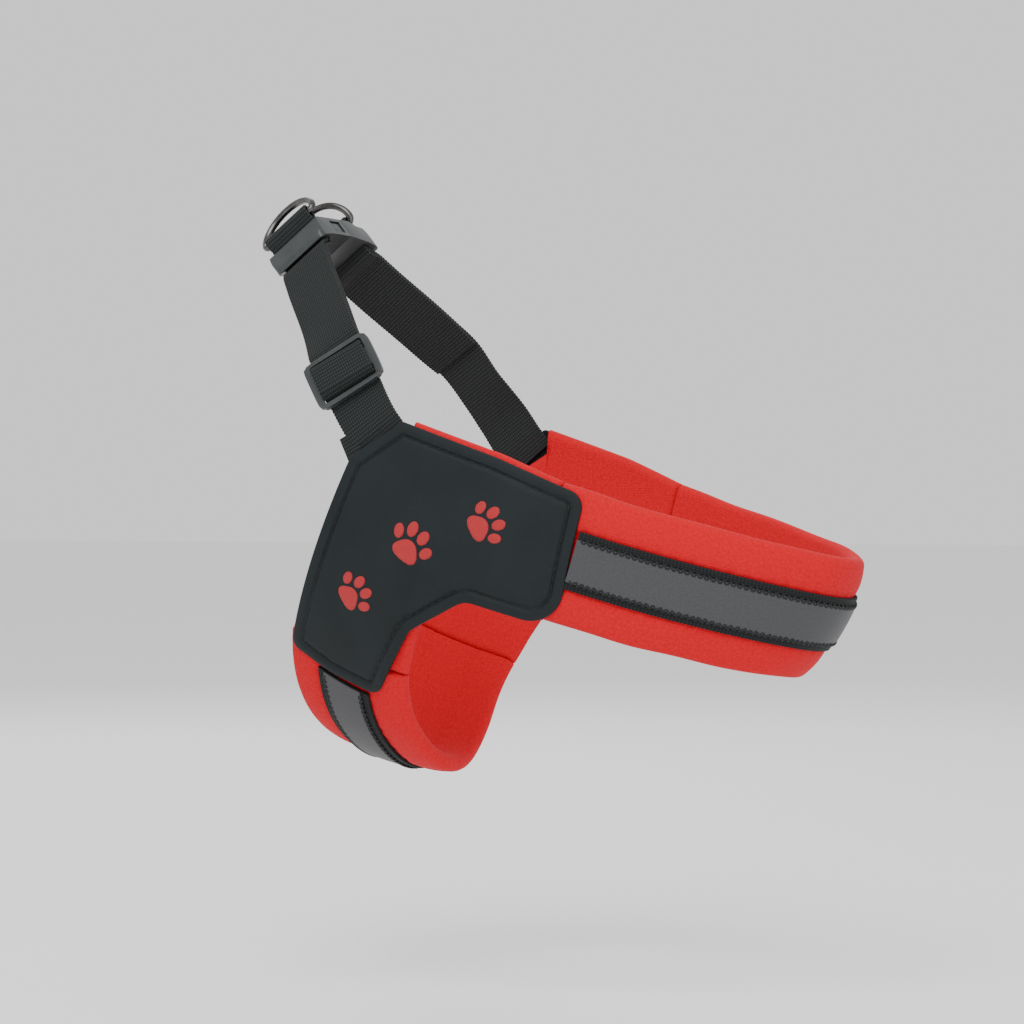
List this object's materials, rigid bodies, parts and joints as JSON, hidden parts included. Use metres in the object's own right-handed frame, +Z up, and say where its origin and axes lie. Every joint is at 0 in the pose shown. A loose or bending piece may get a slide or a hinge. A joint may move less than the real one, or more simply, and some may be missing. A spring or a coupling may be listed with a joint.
{
  "type": "dog chest harness",
  "caption": "Worn-shape dog chest harness: padded red chest and girth bands joined by side patches, with a webbing back strap, slider, side-release buckle and D-rings.",
  "frame": {"origin": "under the back strap at the withers, where the harness hangs on its wearer", "axes": "+Z up, -Y towards the chest (front), +X to the wearer's left; the plane of symmetry is X = 0"},
  "size_m": [0.1236, 0.2198, 0.2034],
  "materials": {
    "red_cloth": "bright red padded knit cloth with turned edges",
    "dark_patch": "matte near-black rubbery patch with a stitched border",
    "black_webbing": "ribbed black polyester webbing",
    "reflective_tape": "fine grey reflective tape",
    "dark_plastic": "satin moulded plastic",
    "dark_steel": "dark nickel plate"
  },
  "bodies": {
    "harness": {"chest_band": "red_cloth", "girth_band": "red_cloth", "near_side_pad": "red_cloth", "far_side_pad": "red_cloth", "near_patch": "dark_patch", "far_patch": "dark_patch", "chest_webbing": "black_webbing", "girth_webbing": "black_webbing", "near_strap": "black_webbing", "far_strap": "black_webbing", "chest_reflective_tape": "reflective_tape", "girth_reflective_tape": "reflective_tape", "slider": "dark_plastic", "buckle_socket": "dark_plastic", "buckle_plug": "dark_plastic"},
    "near_ring_body": {"near_ring": "dark_steel"},
    "far_ring_body": {"far_ring": "dark_steel"}
  },
  "joints": [
    {"name": "near_ring_swing", "type": "hinge", "parent": "harness", "child": "near_ring_body", "pos_m": [-0.014, 0.00804, 0.01022], "axis": [0, 0.7859, -0.6184], "range_deg": [-158, 48]},
    {"name": "far_ring_swing", "type": "hinge", "parent": "harness", "child": "far_ring_body", "pos_m": [0.014, 0.00643, 0.00817], "axis": [0, 0.7859, -0.6184], "range_deg": [-74, 120]}
  ]
}
